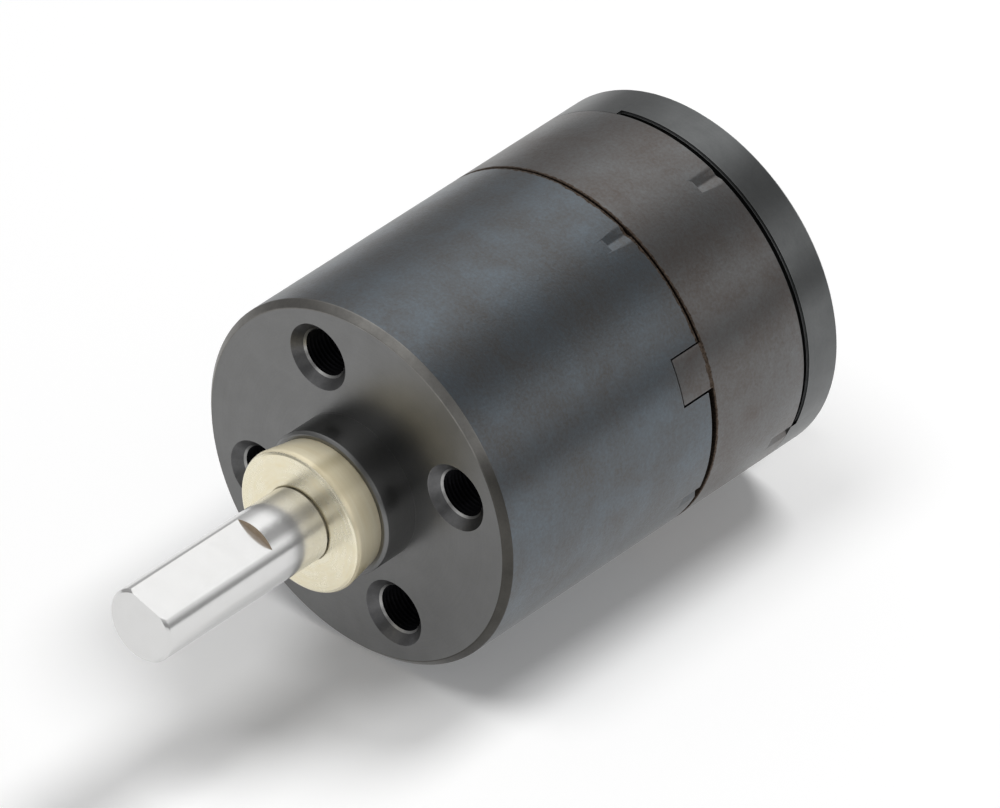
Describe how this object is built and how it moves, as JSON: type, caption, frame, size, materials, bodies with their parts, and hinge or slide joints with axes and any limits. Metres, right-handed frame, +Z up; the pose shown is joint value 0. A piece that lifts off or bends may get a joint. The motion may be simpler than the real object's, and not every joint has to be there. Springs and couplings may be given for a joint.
{
  "type": "mini gear motor",
  "caption": "Round blackened-steel gear motor with a D-flat output shaft in a brass bush, a planetary gearbox behind a tapped mounting face and a short brushed motor behind it.",
  "frame": {"origin": "centre of the front mounting face, on the output shaft's axis", "axes": "-Y out of the mounting face along the output shaft, +Y back along the case, +Z up as it lies in the picture"},
  "size_m": [0.02, 0.0436, 0.02],
  "materials": {
    "black_oxide_steel": "blackened, satin",
    "polished_steel": "ground and polished",
    "machined_steel": "machined",
    "brass": "turned, satin",
    "sintered_bronze": "sintered, oiled",
    "laminated_steel": "laminated",
    "copper": "enamelled copper",
    "ferrite": "dull ferrite",
    "carbon": "carbon brush",
    "moulded_plastic": "moulded",
    "white_plastic": "moulded",
    "tinned_brass": "tinned"
  },
  "bodies": {
    "case": {"front_housing": "black_oxide_steel", "output_bush": "brass", "thrust_washer": "machined_steel", "ring_gear": "machined_steel", "motor_plate": "machined_steel", "front_bearing": "sintered_bronze", "motor_can": "black_oxide_steel", "magnets": "ferrite", "brush_holder": "moulded_plastic", "brush_springs": "copper", "brushes": "carbon", "rear_cap": "black_oxide_steel", "rear_bearing": "sintered_bronze", "terminal_sleeves": "white_plastic", "terminals": "tinned_brass"},
    "output": {"output_shaft": "polished_steel", "output_carrier": "machined_steel"},
    "stage": {"stage_carrier": "machined_steel", "stage_sun": "machined_steel"},
    "rotor": {"motor_pinion": "machined_steel", "rotor_shaft": "polished_steel", "rotor_core": "laminated_steel", "rotor_coils": "copper", "commutator_hub": "moulded_plastic", "commutator_bars": "copper", "rotor_spacers": "white_plastic"},
    "output_planet_a": {"output_planet_a": "machined_steel"},
    "output_planet_b": {"output_planet_b": "machined_steel"},
    "output_planet_c": {"output_planet_c": "machined_steel"},
    "input_planet_a": {"input_planet_a": "machined_steel"},
    "input_planet_b": {"input_planet_b": "machined_steel"},
    "input_planet_c": {"input_planet_c": "machined_steel"}
  },
  "joints": [
    {"name": "output_turn", "type": "hinge", "parent": "case", "child": "output", "pos_m": [0, 0, 0], "axis": [0, 1, 0], "continuous": true},
    {"name": "stage_turn", "type": "hinge", "parent": "case", "child": "stage", "pos_m": [0, 0.0097, 0], "axis": [0, 1, 0], "continuous": true},
    {"name": "rotor_turn", "type": "hinge", "parent": "case", "child": "rotor", "pos_m": [0, 0.0163, 0], "axis": [0, 1, 0], "continuous": true},
    {"name": "output_planet_a_turn", "type": "hinge", "parent": "output", "child": "output_planet_a", "pos_m": [0, 0.007, 0.0048], "axis": [0, 1, 0], "continuous": true},
    {"name": "output_planet_b_turn", "type": "hinge", "parent": "output", "child": "output_planet_b", "pos_m": [0.00416, 0.007, -0.0024], "axis": [0, 1, 0], "continuous": true},
    {"name": "output_planet_c_turn", "type": "hinge", "parent": "output", "child": "output_planet_c", "pos_m": [-0.00416, 0.007, -0.0024], "axis": [0, 1, 0], "continuous": true},
    {"name": "input_planet_a_turn", "type": "hinge", "parent": "stage", "child": "input_planet_a", "pos_m": [0, 0.011, 0.0048], "axis": [0, 1, 0], "continuous": true},
    {"name": "input_planet_b_turn", "type": "hinge", "parent": "stage", "child": "input_planet_b", "pos_m": [0.00416, 0.011, -0.0024], "axis": [0, 1, 0], "continuous": true},
    {"name": "input_planet_c_turn", "type": "hinge", "parent": "stage", "child": "input_planet_c", "pos_m": [-0.00416, 0.011, -0.0024], "axis": [0, 1, 0], "continuous": true}
  ],
  "couplings": [
    {"joint": "stage_turn", "follows": "output_turn", "ratio": 4},
    {"joint": "rotor_turn", "follows": "output_turn", "ratio": 16},
    {"joint": "output_planet_a_turn", "follows": "output_turn", "ratio": -3},
    {"joint": "output_planet_b_turn", "follows": "output_turn", "ratio": -3},
    {"joint": "output_planet_c_turn", "follows": "output_turn", "ratio": -3},
    {"joint": "input_planet_a_turn", "follows": "output_turn", "ratio": -12},
    {"joint": "input_planet_b_turn", "follows": "output_turn", "ratio": -12},
    {"joint": "input_planet_c_turn", "follows": "output_turn", "ratio": -12}
  ]
}
